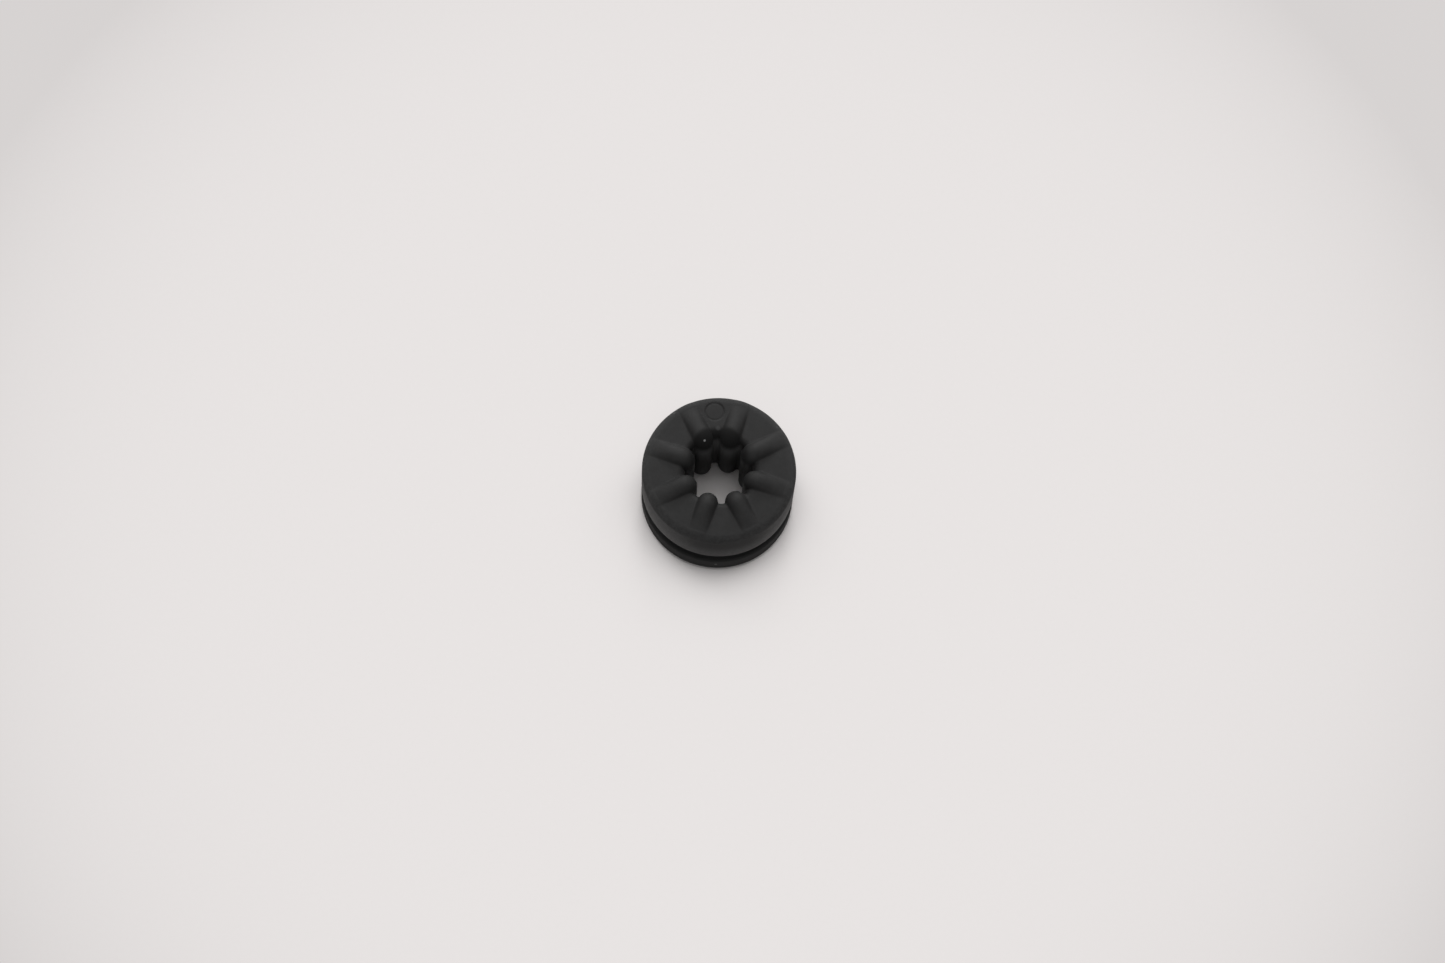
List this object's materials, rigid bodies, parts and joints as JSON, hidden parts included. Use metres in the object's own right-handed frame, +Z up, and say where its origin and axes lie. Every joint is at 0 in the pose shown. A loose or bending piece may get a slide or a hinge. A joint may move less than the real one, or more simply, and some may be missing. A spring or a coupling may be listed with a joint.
{
  "type": "rubber grommet",
  "caption": "Round black rubber grommet with a deep panel groove, and rounded ribs that rise across its upper face from the rim and run down its bore.",
  "frame": {"origin": "centre of the flat underside, on the axis of the bore", "axes": "+Z up the bore towards the ribbed upper face, +Y towards the round mould mark between two ribs, +X completes the right-handed frame"},
  "size_m": [0.015, 0.015, 0.0093],
  "materials": {
    "rubber": "matte moulded black rubber with a fine grain"
  },
  "bodies": {
    "root": {"grommet": "rubber"}
  },
  "joints": []
}
